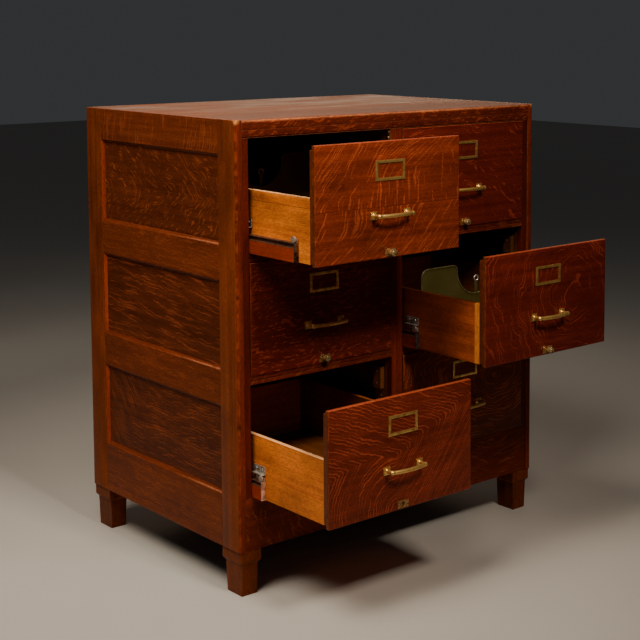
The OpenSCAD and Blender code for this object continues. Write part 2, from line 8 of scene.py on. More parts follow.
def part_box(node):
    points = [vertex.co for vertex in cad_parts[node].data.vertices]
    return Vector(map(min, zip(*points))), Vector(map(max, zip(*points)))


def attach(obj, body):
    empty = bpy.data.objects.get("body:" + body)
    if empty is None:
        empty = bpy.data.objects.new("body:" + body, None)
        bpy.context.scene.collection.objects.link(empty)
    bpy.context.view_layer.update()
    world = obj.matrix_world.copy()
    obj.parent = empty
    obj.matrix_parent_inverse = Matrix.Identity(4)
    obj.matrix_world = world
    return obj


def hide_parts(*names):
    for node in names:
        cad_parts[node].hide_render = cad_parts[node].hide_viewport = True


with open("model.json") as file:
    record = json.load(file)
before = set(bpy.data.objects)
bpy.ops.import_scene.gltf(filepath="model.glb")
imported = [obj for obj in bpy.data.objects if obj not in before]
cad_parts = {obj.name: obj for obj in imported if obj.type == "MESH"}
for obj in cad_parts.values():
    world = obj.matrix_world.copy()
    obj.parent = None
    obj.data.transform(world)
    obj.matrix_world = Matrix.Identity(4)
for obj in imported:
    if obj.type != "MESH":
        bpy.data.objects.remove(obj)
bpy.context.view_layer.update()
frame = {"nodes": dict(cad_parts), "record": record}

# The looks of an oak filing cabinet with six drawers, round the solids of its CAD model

# Sizes and places of the case, in metres

CASE_WIDTH = 1.000
CASE_DEPTH = 0.710
HALF_WIDTH = CASE_WIDTH / 2
CASE_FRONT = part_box("side_frames")[0][1]
CASE_BACK = CASE_FRONT + CASE_DEPTH
CASE_MIDDLE = CASE_FRONT + CASE_DEPTH / 2
CASE_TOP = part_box("case_top")[1][2]
FRONT_STILE = 0.075
REAR_STILE = 0.080
TOP_RAIL = 0.0825
MIDDLE_RAIL = 0.087
PANEL_SINK = 0.008
PANEL_LOWS = (0.2445, 0.5495, 0.8545)
HALF_MULLION = 0.018
# Where the sunk strips beside the side frames begin, from the middle
SUNK_STRIP = 0.462
# Upper edge of the highest drawer openings
BAY_TOP = 1.1115
# Faces of the front frame that are higher than this above BAY_TOP lie against the top board
LIP = 0.003
# A little more than the gap round a drawer's front
FRONT_GAP = 0.002
# The posts beside the openings end less than this behind the case's front
POST_DEPTH = 0.070
# Height of the back's rails, less a margin
BACK_RAIL = 0.060
# Height of the glued joint in the top left drawer's sides
SIDE_JOINT = 0.9645

# For telling faces apart: a hair's breadth, the least part of a flat face's normal along the way
# that it faces, and the y of the normals of faces that turn to the front
HAIR = 0.0001
FACING = 0.9
FRONTWARD = -0.35

# Catch plate on the middle stile: its ends, its front and rear edges behind the case's front, how
# far it stands out and is let in, and how far its screws lie from its ends
CATCH_LOW, CATCH_HIGH = 1.083, 1.1105
CATCH_FRONT, CATCH_BACK = 0.0055, 0.0205
CATCH_OUT, CATCH_IN = 0.0006, 0.0004
CATCH_SCREW_INSET = 0.0065
CATCH_SCREW_R, CATCH_SCREW_HEIGHT = 0.0028, 0.0009

# Places on a drawer: across from its middle, back from the face and up from the foot of its front

MENDED_STRIP = 0.050
INNER_FRONT_BACK = 0.0323
FLOOR_REACH = 0.100
ROD_PLATE_TOP = 0.050
ROD_PLATE_SCREW = (0.0115, -0.0022, 0.0125)
ROD_PLATE_SCREW_R = 0.0018
KNOB_BACK = -0.002
BRACKET_SCREWS = ((0.2127, 0.26966, 0.0747), (0.2127, 0.29254, 0.0747))
BRACKET_SCREW_R = 0.003
LEVER_ACROSS = 0.006
LEVER_REACH = 0.010
LEVER_LOW = 0.154

# Places on other pieces: across from their middle, or from their own foremost and lowest points

BOX_SIDE_TOP = 0.1515
SLIDE_TOP = 0.0455
TRACK_LOW = 0.0319
END_PLATE_BACK = 0.0045
END_PLATE_SCREW = (0.21535, 0.016)
END_PLATE_SCREW_R = 0.0026
LEVER_FRONT = 0.0055

# Screws in the post beside a bay: across from the bay's middle, back from the case's front, up
# from the foot of the drawer's front, and the turn of the slot in degrees
POST_SCREWS = (
    (0.210, 0.049, 0.200, 20),
    (0.210, 0.049, 0.231, -35),
    (0.222, 0.045, 0.120, 60),
    (0.222, 0.045, 0.165, 5),
)
POST_SCREW_R, POST_SCREW_HEIGHT = 0.0026, 0.0011

DRAWERS = ("top_left", "top_right", "middle_left", "middle_right", "bottom_left", "bottom_right")

# Drawers unlike the others: one with sides glued from two boards, one with darker and redder sides,
# partly painted shade, that are mended at the front, and one with bright slide plates and brackets
# and no guide rod
JOINTED = "top_left"
MENDED = "middle_right"
BRIGHT = RODLESS = "bottom_left"

BODY_OF = {node: body for body, nodes in frame["record"]["behaviour"]["bodies"].items() for node in nodes}

RIGHT, BACK, UP = (1, 0, 0), (0, 1, 0), (0, 0, 1)
FORWARD = (0, -1, 0)


# Shader maths

class Value:
    """A socket of a finish, so that shader maths reads as plain expressions."""

    def __init__(self, finish, socket):
        self.finish = finish
        self.socket = socket

    def __add__(self, other):
        return self.finish.math("ADD", self, other)

    def __radd__(self, other):
        return self.finish.math("ADD", other, self)

    def __sub__(self, other):
        return self.finish.math("SUBTRACT", self, other)

    def __rsub__(self, other):
        return self.finish.math("SUBTRACT", other, self)

    def __mul__(self, other):
        return self.finish.math("MULTIPLY", self, other)

    def __rmul__(self, other):
        return self.finish.math("MULTIPLY", other, self)

    def __abs__(self):
        return self.finish.math("ABSOLUTE", self)

    def root(self):
        return self.finish.math("SQRT", self)

    def zigzag(self):
        """Rises from 0 to 1 and falls back once in every unit."""
        return self.finish.math("PINGPONG", self, 0.5) * 2

    def lower_of(self, other):
        return self.finish.math("MINIMUM", self, other)

    def higher_of(self, other):
        return self.finish.math("MAXIMUM", self, other)

    def softly_lower_of(self, other, blend):
        return self.finish.math("SMOOTH_MIN", self, other, blend)

    def step(self, low, high):
        """0 below low and 1 above high, with a soft change between them."""
        return self.finish.ranged(self, low, high, 0.0, 1.0, "SMOOTHSTEP")

    def spread(self, low, high, at_low, at_high):
        """Carries the range low to high over to another one."""
        return self.finish.ranged(self, low, high, at_low, at_high, "LINEAR")


class Finish:
    """One material, and the nodes that it is made of."""

    def __init__(self, name):
        self.material = bpy.data.materials.new(name)
        self.material.use_nodes = True
        self.tree = self.material.node_tree
        self.surface = self.tree.nodes["Principled BSDF"]
        coordinates = self.node("ShaderNodeTexCoord", output=None)
        self.place = Value(self, coordinates.outputs["Object"])
        self.normal = Value(self, coordinates.outputs["Normal"])

    def node(self, kind, settings=None, inputs=None, output=0):
        made = self.tree.nodes.new(kind)
        for name, setting in (settings or {}).items():
            setattr(made, name, setting)
        for name, value in (inputs or {}).items():
            self.feed(made.inputs[name], value)
        return made if output is None else Value(self, made.outputs[output])

    def feed(self, socket, value):
        if isinstance(value, Value):
            self.tree.links.new(value.socket, socket)
        else:
            socket.default_value = value

    def math(self, operation, *values):
        return self.node("ShaderNodeMath", {"operation": operation}, dict(enumerate(values)))

    def along(self, direction, start=(0, 0, 0), what=None):
        """Distance of the surface's place from start, measured along a direction."""
        kind = "ShaderNodeVectorMath"
        away = self.node(kind, {"operation": "SUBTRACT"}, {0: what or self.place, 1: start})
        return self.node(kind, {"operation": "DOT_PRODUCT"}, {0: away, 1: direction}, output="Value")

    def ranged(self, value, low, high, at_low, at_high, kind):
        inputs = {"Value": value, "From Min": low, "From Max": high, "To Min": at_low, "To Max": at_high}
        return self.node("ShaderNodeMapRange", {"interpolation_type": kind}, inputs)

    def vector(self, x, y, z):
        return self.node("ShaderNodeCombineXYZ", inputs={"X": x, "Y": y, "Z": z})

    def noise(self, place, scale=1.0, detail=2.0, roughness=0.5):
        inputs = {"Vector": place, "Scale": scale, "Detail": detail, "Roughness": roughness}
        return self.node("ShaderNodeTexNoise", inputs=inputs, output="Fac")

    def edges(self):
        """1 on eased edges and rounded corners and 0 on flat faces. The parts of a normal add up to 1
        where it lies along an axis, and to more where it doesn't."""
        sides = [abs(self.along(way, what=self.normal)) for way in (RIGHT, BACK, UP)]
        return (sides[0] + sides[1] + sides[2]).step(1.12, 1.3)

    def mix(self, amount, first, second, blend="MIX"):
        """A colour between two others. The node's colour sockets are 6 and 7, and output 2."""
        mixed = self.node("ShaderNodeMix", {"data_type": "RGBA", "blend_type": blend}, output=None)
        for index, value in ((0, amount), (6, first), (7, second)):
            self.feed(mixed.inputs[index], value)
        return Value(self, mixed.outputs[2])

    def dim(self, tint, amount):
        """A colour times a number."""
        return self.mix(1.0, tint, self.vector(amount, amount, amount), "MULTIPLY")

    def bump(self, height, strength, distance):
        inputs = {"Strength": strength, "Distance": distance, "Height": height}
        self.set(Normal=self.node("ShaderNodeBump", inputs=inputs))

    def set(self, **sockets):
        for name, value in sockets.items():
            self.feed(self.surface.inputs[name.replace("_", " ")], value)


def colour(red, green, blue):
    """A colour as a screen shows it, from 0 to 255, turned into amounts of light."""
    return tuple(((c / 255 + 0.055) / 1.055) ** 2.4 if c > 10 else c / 255 / 12.92
                 for c in (red, green, blue)) + (1.0,)


# Wood

def stain(ground, ring, flake):
    """The colours of a stained wood's ground, year rings and ray flakes."""
    return {"ground": colour(*ground), "ring": colour(*ring), "flake": colour(*flake)}


RED_STAIN = stain((119, 44, 17), (89, 28, 11), (166, 74, 39))
CLARET_STAIN = stain((102, 34, 16), (77, 23, 10), (158, 65, 36))
# Deep stain, darker partly as painted shade, for the fronts that get less light
DEEP_STAIN_AND_SHADE = stain((97, 28, 15), (73, 18, 10), (148, 57, 32))
DARK_STAIN = stain((98, 34, 13), (74, 22, 9), (140, 66, 30))
STILE_STAIN = stain((114, 36, 14), (88, 25, 10), (160, 70, 34))
EDGE_STAIN = stain((94, 32, 13), (70, 21, 9), (150, 62, 28))
END_STAIN = stain((104, 48, 20), (80, 33, 13), (150, 80, 40))
BROWN_STAIN = stain((116, 54, 20), (92, 38, 13), (158, 84, 38))
RAIL_STAIN = stain((110, 50, 20), (86, 34, 13), (142, 68, 32))
TOP_STAIN = stain((124, 60, 24), (78, 34, 14), (146, 76, 36))
PANEL_STAIN = stain((92, 41, 18), (70, 28, 11), (144, 68, 34))
MOULDING_STAIN = stain((108, 46, 17), (86, 33, 12), (150, 76, 40))
HONEY = stain((210, 116, 34), (178, 88, 20), (228, 144, 60))
TAN = stain((180, 84, 32), (138, 58, 18), (200, 106, 44))
END_GRAIN = stain((222, 134, 56), (200, 108, 38), (228, 144, 60))
RUNNER = stain((118, 70, 30), (90, 50, 20), (130, 82, 38))
# Dark wood inside the case, darkened as painted shade
INNER = stain((96, 60, 32), (74, 44, 22), (104, 66, 36))
# Darker wood for the drawers' inner faces: painted shade inside the boxes
SHADED_INSIDE = stain((134, 76, 34), (106, 56, 22), (146, 90, 42))
MAHOGANY = stain((152, 54, 20), (122, 39, 13), (160, 70, 34))
JAMB_STAIN = stain((84, 24, 11), (64, 16, 8), (120, 48, 24))
TOP_PANEL_STAIN = stain((94, 42, 18), (74, 31, 12), (152, 72, 32))
# Brighter stain for moulding faces that turn to the front: painted light from the front
FRONT_LIT_STAIN = stain((152, 58, 22), (120, 42, 15), (172, 84, 40))
FACE_STAIN = stain((110, 39, 15), (84, 27, 10), (156, 68, 32))
# Pale wood for the near sides' upper edges: a painted highlight
PALE_EDGE_HIGHLIGHT = stain((232, 176, 124), (204, 138, 84), (236, 180, 130))

BARE_WOOD = colour(222, 148, 82)
# Painted highlight along lower arrises: the strip over the top bays and the lower mouldings
HIGHLIGHT_RED = colour(176, 104, 70)
# Painted highlight along the upper edge of the drawers' fronts
FRONT_EDGE_HIGHLIGHT = colour(150, 66, 36)
# Painted highlight along the top's rounded front arris
ARRIS_HIGHLIGHT = colour(204, 126, 80)
# Greyed top front: partly a hazy finish, partly a painted reflection of grey surroundings
HAZE_AND_REFLECTION = colour(102, 80, 72)
BRUISE = colour(44, 16, 8)


def flakes(finish, slope, u, v, lines=200.0, length=0.03, wander=0.03, size=0.11, cover=0.2, patches=0.24,
           even=0.0, seed=1.0):
    """Ray flakes: bright ribbons along the level lines of a slope over the board, 0 to 1.
    lines is how many cross a metre and length how long they are. wander is how far they stray and
    size how soon they turn. cover is their share of the board, patches how much that share varies
    and even how evenly they are spaced."""
    place = finish.vector(u, v, seed)
    drift = finish.noise(place, scale=1 / size, detail=1.0) - 0.5
    ripple = finish.noise(place, scale=1 / 0.018, detail=1.0) - 0.5
    level = (slope + drift * wander * 2.2 + ripple * 0.010) * lines
    ribbon = finish.noise(finish.vector(level, u * (1 / length), v * (1 / length) + seed), detail=1.0)
    patch = finish.noise(place, scale=9.0, detail=1.0) - 0.5
    amount = ribbon + patch * patches
    if even:
        amount = amount + ((level * 0.6).zigzag() - 0.5) * even
    edge = 0.66 - cover * 0.5
    return amount.step(edge, edge + 0.09)


def marked(finish, place, reach):
    """1 at a place and 0 beyond its reach, the same on the left and the right of the case."""
    outward = finish.vector(abs(finish.along(RIGHT)), finish.along(BACK), finish.along(UP))
    away = [finish.along(way, place, what=outward) * (1 / r) for way, r in zip((RIGHT, BACK, UP), reach)]
    distance = (away[0] * away[0] + away[1] * away[1] + away[2] * away[2]).root()
    return 1 - distance.step(0.25, 1.0)


def wood(name, tones, start, grain, across, slope=None, seed=1.0, gloss=0.38, strength=0.75, wear=0.3,
         shine=0.2, blotches=0.27, uneven=0.15, joints=(), butts=(), marks=(), **figure):
    """Stained wood on a board whose grain runs one way and whose face also spans another.
    slope gives quarter-sawn oak its flakes, strength how much they show, and wear rubs its edges.
    gloss is the roughness and uneven how much it varies, shine the strength of its reflections and
    blotches that of its clouds. joints are the places across, and butts those along, of glued joints.
    marks are the places, reaches and tints of spots: rubbed and bruised ones, hazy ones that are partly a
    painted reflection, and painted highlights."""
    finish = Finish(name)
    through = tuple(Vector(grain).cross(Vector(across)))
    u, v, w = (finish.along(way, start) for way in (grain, across, through))

    def streaks(lengthwise, crosswise, detail, roughness=0.5):
        """Noise that changes about this many times in a metre along and across the grain."""
        place = finish.vector(u * lengthwise, v * crosswise, w * crosswise + seed)
        return finish.noise(place, detail=detail, roughness=roughness)

    fibres = streaks(11.0, 520.0, 2.0)
    rings = streaks(0.8, 62.0, 3.0)
    clouds = streaks(5.0, 11.0, 4.0, roughness=0.6)
    specks = streaks(110.0, 340.0, 1.0)
    pores = streaks(48.0, 1100.0, 1.0).step(0.62, 0.72)
    body = finish.mix(rings.spread(0.25, 0.75, 0.0, 1.0), tones["ring"], tones["ground"])
    height = fibres * 0.3 - pores * 0.6
    if slope:
        facing = abs(finish.along(through, what=finish.normal)).step(0.75, 0.9)
        flake = flakes(finish, slope(u, v), u, v, seed=seed, **figure) * facing
        body = finish.mix(flake * strength * fibres.spread(0.35, 0.6, 0.6, 1.0), body, tones["flake"])
        pores = pores * (1 - flake)
        height = height + flake * 0.25
    shade = clouds.spread(0.3, 0.7, 1 - blotches, 1 + blotches * 0.9)
    shade = shade * fibres.spread(0.3, 0.7, 0.84, 1.14)
    body = finish.dim(body, shade * specks.spread(0.3, 0.7, 0.80, 1.20))
    for gap in [v - joint for joint in joints] + [u - butt for butt in butts]:
        seam = 1 - abs(gap).step(0.0002, 0.0011)
        body = finish.dim(body, 1 - seam * 0.55)
        height = height - seam * 1.5
    if wear:
        rubbed = finish.edges() * finish.noise(finish.place, scale=38.0, detail=3.0).step(0.46, 0.62)
        body = finish.mix(rubbed * wear, body, tones["flake"])
    dulled = 0.0
    for place, reach, tint in marks:
        mark = marked(finish, place, reach)
        body = finish.mix(mark * (clouds + specks).spread(0.8, 1.2, 0.3, 0.85), body, tint)
        dulled = dulled + mark * 0.2
    finish.set(Base_Color=finish.mix(pores * 0.42, body, colour(26, 9, 3)))
    finish.set(Roughness=gloss + (fibres - 0.5) * 0.14 + (clouds - 0.5) * uneven + dulled)
    finish.set(Coat_Weight=shine * 0.2, Coat_Roughness=0.24)
    finish.set(Specular_IOR_Level=shine, Specular_Tint=colour(255, 190, 130))
    finish.bump(height, strength=0.3, distance=0.0004)
    return finish.material


# Slopes whose level lines the flakes follow, in metres; u runs along the grain and v across it

def straight(lean):
    """Flakes at one angle, in degrees from the grain."""
    turn = math.radians(lean)
    return lambda u, v: v * math.cos(turn) - u * math.sin(turn)


def rings_round(u0, v0, squash):
    """Rings round a place, longer along the board the smaller squash is."""
    return lambda u, v: ((u - u0) * (u - u0) * squash + (v - v0) * (v - v0)).root()


def arrowheads(lean):
    """Flakes that meet in points along the middle of the board."""
    turn = math.radians(lean)
    return lambda u, v: abs(v) * math.cos(turn) + u * math.sin(turn)


# Place of the glued joint across the top left front, up from its middle
TOP_LEFT_JOINT = -0.016


def leaning_and_fanned(u, v):
    """Upright flakes that lean over towards the top, above the joint, and a fan of them below it."""
    above = (v - TOP_LEFT_JOINT).step(-0.0004, 0.0004)
    bend = (v - 0.048 - u * 0.28).higher_of(0.0)
    lean = u.step(-0.02, 0.14) * 1.2 + 1.0
    drop = (TOP_LEFT_JOINT - v).higher_of(0.0)
    right = u.step(0.0, 0.12)
    fan = u + drop * (drop * 6.8 * (1 - right) + right * 0.9)
    return (u - bend * lean) * above + (fan + 0.37) * (1 - above)


def swept_arcs(u, v):
    """Arcs in the lower left and diagonals on the right, under flakes that slope down to meet them."""
    left = (u + 0.02).lower_of(0.0)
    right = (u + 0.02).higher_of(0.0)
    low = (left * left + (v + 0.13) * (v + 0.13)).root() - right * 1.2
    high = 0.118 - v - u * 0.36
    return low.softly_lower_of(high, u.spread(-0.1, 0.1, 0.004, 0.05))


def feather(u, v):
    """Level flakes above a fold and steep ones below it."""
    return v.softly_lower_of(v * 0.55 + u * 0.75 + 0.10, 0.02)


def front_finish(drawer, seed):
    """The oak of a drawer's front, with a painted highlight along its upper edge."""
    # The top right, middle left and middle right fronts take the deep stain, darker partly as painted shade
    tones, slope, figure = {
        "top_left": (RED_STAIN, leaning_and_fanned,
                     dict(lines=175.0, wander=0.020, length=0.085, cover=0.17, even=0.15, strength=0.65,
                          blotches=0.34, joints=(TOP_LEFT_JOINT,))),
        "top_right": (DEEP_STAIN_AND_SHADE, rings_round(-0.10, -0.34, 0.9),
                      dict(lines=190.0, wander=0.04, length=0.05, cover=0.08, strength=0.65)),
        "middle_left": (DEEP_STAIN_AND_SHADE, straight(6), dict(lines=260.0, wander=0.03, length=0.022, cover=0.18)),
        "middle_right": (DEEP_STAIN_AND_SHADE, rings_round(0.10, 0.01, 0.8),
                         dict(lines=240.0, wander=0.035, size=0.08, length=0.12, cover=0.08, even=0.28,
                              strength=0.6)),
        "bottom_left": (CLARET_STAIN, swept_arcs,
                        dict(lines=200.0, wander=0.010, length=0.10, cover=0.09, even=0.5, strength=0.62)),
        "bottom_right": (DARK_STAIN, rings_round(0.12, 0.03, 0.4),
                         dict(lines=200.0, wander=0.03, length=0.06, cover=0.18, even=0.3)),
    }[drawer]
    low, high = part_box(drawer + "_front")
    middle = ((low[0] + high[0]) / 2, low[1], (low[2] + high[2]) / 2)
    return wood(drawer + "_front_oak", tones, middle, RIGHT, UP, slope, seed=seed,
                marks=[((0, low[1], high[2]), (3.0, 0.02, 0.0018), FRONT_EDGE_HIGHLIGHT)], **figure)


# Metal and paint

def metal(name, bright, tarnish, roughness, spots=60.0, metallic=1.0):
    """Mottled and scratched metal, brighter on its edges."""
    finish = Finish(name)
    mottle = finish.noise(finish.place, scale=spots, detail=4.0, roughness=0.6)
    across, back, up = (finish.along(way) for way in (RIGHT, BACK, UP))
    scratches = finish.noise(finish.vector(across * 90.0, back * 900.0, up * 900.0), detail=1.0)
    dull = (mottle + (scratches - 0.5) * 0.25).step(0.42, 0.62) * (1 - finish.edges() * 0.6)
    finish.set(Base_Color=finish.mix(dull, colour(*bright), colour(*tarnish)))
    finish.set(Roughness=dull.spread(0.0, 1.0, roughness, roughness + 0.18), Metallic=metallic)
    finish.bump(mottle + scratches * 0.3, strength=0.12, distance=0.0003)
    return finish.material


def paint(name, coat, worn):
    """Mottled paint, rubbed on its edges and chipped in small spots."""
    finish = Finish(name)
    mottle = finish.noise(finish.place, scale=14.0, detail=4.0)
    chips = finish.noise(finish.place, scale=260.0, detail=2.0).step(0.66, 0.70)
    rubbed = finish.edges() * finish.noise(finish.place, scale=80.0, detail=2.0).step(0.50, 0.60)
    rubbed = rubbed.higher_of(chips * 0.5)
    tint = finish.dim(colour(*coat), mottle.spread(0.3, 0.7, 0.78, 1.15))
    finish.set(Base_Color=finish.mix(rubbed * 0.28, tint, colour(*worn)))
    finish.set(Roughness=mottle.spread(0.3, 0.7, 0.34, 0.48), Coat_Weight=0.1)
    finish.bump(mottle * 0.5 - rubbed, strength=0.15, distance=0.0003)
    return finish.material


# Pieces

def pick(*pieces):
    """Makes these the only selected objects."""
    bpy.ops.object.select_all(action="DESELECT")
    for piece in pieces:
        piece.select_set(True)
    bpy.context.view_layer.objects.active = pieces[0]


def apply(piece, kind, **settings):
    """Adds a modifier and applies it."""
    pick(piece)
    modifier = piece.modifiers.new(kind.lower(), kind)
    for name, setting in settings.items():
        setattr(modifier, name, setting)
    bpy.ops.object.modifier_apply(modifier=modifier.name)


def finished(node, *finishes, where=None, ease=0.0008, parting=None):
    """A copy of a CAD solid with its sharp edges eased, which stands for its node. where picks one of
    the finishes from a face's middle and normal, and parting is a place across the depth where the
    faces are first divided."""
    mesh = frame["nodes"][node].data.copy()
    mesh.materials.clear()
    for finish in finishes:
        mesh.materials.append(finish)
    piece = bpy.data.objects.new(node + "_finished", mesh)
    bpy.context.collection.objects.link(piece)
    pick(piece)
    bpy.ops.object.mode_set(mode="EDIT")
    bpy.ops.mesh.select_all(action="SELECT")
    bpy.ops.mesh.remove_doubles(threshold=0.000002)
    if parting:
        bpy.ops.mesh.bisect(plane_co=(0, parting, 0), plane_no=BACK)
    bpy.ops.object.mode_set(mode="OBJECT")
    for face in mesh.polygons:
        face.material_index = finishes.index(where(face.center, face.normal)) if where else 0
    bpy.ops.object.mode_set(mode="EDIT")
    bpy.ops.mesh.select_all(action="SELECT")
    bpy.ops.mesh.dissolve_limited(angle_limit=math.radians(0.5), delimit={"MATERIAL"})
    bpy.ops.object.mode_set(mode="OBJECT")
    if ease:
        apply(piece, "BEVEL", width=ease, segments=2, limit_method="ANGLE", angle_limit=math.radians(35))
    pick(piece)
    bpy.ops.object.shade_smooth_by_angle(angle=math.radians(25))
    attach(piece, BODY_OF[node])
    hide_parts(node)
    return piece


def block(low, high):
    """A plain block between two corners."""
    bpy.ops.object.select_all(action="DESELECT")
    bpy.ops.mesh.primitive_cube_add(size=1)
    made = bpy.context.object
    middle = (Vector(low) + Vector(high)) / 2
    size = Vector(high) - Vector(low)
    made.data.transform(Matrix.Translation(middle) @ Matrix.Diagonal((*size, 1)))
    return made


def placed(pattern, place, facing, turn):
    """A copy of a piece, moved to a place with its top facing some way and turned about that way."""
    copy = bpy.data.objects.new(pattern.name, pattern.data.copy())
    bpy.context.collection.objects.link(copy)
    aim = Vector(facing).to_track_quat("Z", "Y").to_matrix().to_4x4()
    copy.data.transform(Matrix.Translation(place) @ aim @ Matrix.Rotation(math.radians(turn), 4, "Z"))
    return copy


def joined(name, pieces):
    """Several pieces made one."""
    pick(*pieces)
    if len(pieces) > 1:
        bpy.ops.object.join()
    pieces[0].name = name
    return pieces[0]


def cut_slots(piece, radius, heads):
    """Cuts a driver's slot across each screw head: its top's middle, the way it faces and its turn."""
    half_width, half_length, depth = radius * 0.16, radius * 1.2, radius * 0.22
    blade = block((-half_width, -half_length, -depth), (half_width, half_length, radius))
    blades = joined("blades", [placed(blade, *head) for head in heads])
    apply(piece, "BOOLEAN", operation="DIFFERENCE", object=blades, solver="EXACT")
    for tool in (blade, blades):
        bpy.data.objects.remove(tool)


def screw_head(radius, height):
    """A round head with a slot, at the origin and facing up."""
    bpy.ops.object.select_all(action="DESELECT")
    bpy.ops.mesh.primitive_cylinder_add(vertices=24, radius=radius, depth=height, location=(0, 0, height / 2))
    head = bpy.context.object
    head.data.transform(head.matrix_world)
    head.matrix_world = Matrix.Identity(4)
    apply(head, "BEVEL", width=height * 0.6, segments=3, limit_method="ANGLE", angle_limit=math.radians(60))
    cut_slots(head, radius, [((0, 0, height), UP, 0)])
    return head


# Case

def build_side_frames():
    worn_corner = ((HALF_WIDTH, CASE_FRONT, CASE_TOP), (0.017, 0.017, 0.014), BARE_WOOD)
    worn_spot = ((HALF_WIDTH, CASE_FRONT, 0.790), (0.006, 0.006, 0.012), BARE_WOOD)
    bruises = [((HALF_WIDTH, CASE_FRONT, 0.422), (0.014, 0.010, 0.013), BRUISE),
               ((HALF_WIDTH, CASE_FRONT, 0.735), (0.010, 0.007, 0.009), BRUISE)]
    knot = ((HALF_WIDTH, CASE_FRONT + 0.175, 1.079), (0.02, 0.007, 0.005), BRUISE)

    stile = wood("side_stile_oak", BROWN_STAIN, (0, CASE_MIDDLE, 0), UP, BACK, seed=11.0, shine=0.08,
                 blotches=0.4, marks=[worn_corner, *bruises, worn_spot])
    rail = wood("side_rail_oak", RAIL_STAIN, (0, CASE_MIDDLE, 0), FORWARD, UP, straight(-5), seed=12.0,
                shine=0.07, lines=320.0, wander=0.012, length=0.045, cover=0.16, patches=0.12, even=0.2,
                strength=0.5)
    top_rail = wood("side_top_rail_oak", RAIL_STAIN, (0, CASE_MIDDLE, CASE_TOP), FORWARD, UP, straight(81),
                    seed=13.0, shine=0.08, lines=300.0, wander=0.012, size=0.07, length=0.09, cover=0.14,
                    patches=0.5, strength=0.7, marks=[knot])
    face = wood("stile_face_oak", FACE_STAIN, (0, 0, 0), UP, RIGHT, seed=42.0, shine=0.08, blotches=0.4,
                marks=[*bruises, worn_corner])

    def side_board(middle, normal):
        if normal.y < FRONTWARD:
            return face
        stile_back = CASE_FRONT + FRONT_STILE + HAIR
        rear_stile_front = CASE_BACK - REAR_STILE - HAIR
        if middle.y < stile_back or middle.y > rear_stile_front:
            return stile
        return top_rail if middle.z > CASE_TOP - TOP_RAIL else rail

    finished("side_frames", stile, rail, top_rail, face, where=side_board, ease=0.0012)


def build_top_and_front():
    # The top is greyed and dulled towards its front, partly a hazy finish and partly a painted reflection
    top = wood("top_oak", TOP_STAIN, (0, CASE_MIDDLE, 0), RIGHT, BACK, straight(12), seed=14.0, gloss=0.44,
               blotches=0.5, uneven=0.6, lines=200.0, wander=0.03, length=0.05, cover=0.14, strength=0.5,
               joints=(-0.11, 0.15), marks=[((0, CASE_FRONT, CASE_TOP), (3.0, 0.34, 0.1), HAZE_AND_REFLECTION)])
    # The top's front edge carries a painted highlight along its rounded arris
    edge = wood("top_edge_oak", EDGE_STAIN, (0.1, 0, CASE_TOP - 0.02), RIGHT, UP, straight(14), seed=15.0,
                lines=260.0, wander=0.03, length=0.020, cover=0.17, strength=0.6, butts=(-0.1165,),
                marks=[((0, CASE_FRONT, CASE_TOP), (3.0, 0.008, 0.0065), ARRIS_HIGHLIGHT)])
    finished("case_top", top, edge, where=lambda middle, normal: edge if normal.y < FRONTWARD else top)

    strip = wood("front_stile_oak", STILE_STAIN, (0, 0, 0.6), UP, RIGHT, seed=16.0)
    jamb = wood("front_jamb_oak", JAMB_STAIN, (0, 0, 0.6), UP, RIGHT, seed=18.0)
    # The front rails carry a painted highlight along the lower arris of the strip over the top bays
    cross = wood("front_rail_oak", DARK_STAIN, (0.24, 0, 0.18), RIGHT, UP, rings_round(0.10, 0.12, 0.35),
                 seed=17.0, shine=0.1, lines=200.0, wander=0.02, length=0.06, cover=0.18, strength=0.5,
                 marks=[((0, CASE_FRONT + 0.01, BAY_TOP), (3.0, 0.03, 0.0022), HIGHLIGHT_RED)])
    bays_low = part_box("bottom_left_front")[0][2] - FRONT_GAP
    bays_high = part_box("top_left_front")[1][2] + FRONT_GAP

    def front_board(middle, normal):
        if bays_low < middle.z < bays_high:
            if abs(middle.x) < HALF_MULLION + 5 * HAIR:
                return strip
            if abs(middle.x) > SUNK_STRIP:
                return jamb
        return edge if middle.z > BAY_TOP + LIP else cross

    finished("front_frame", strip, cross, jamb, edge, where=front_board)


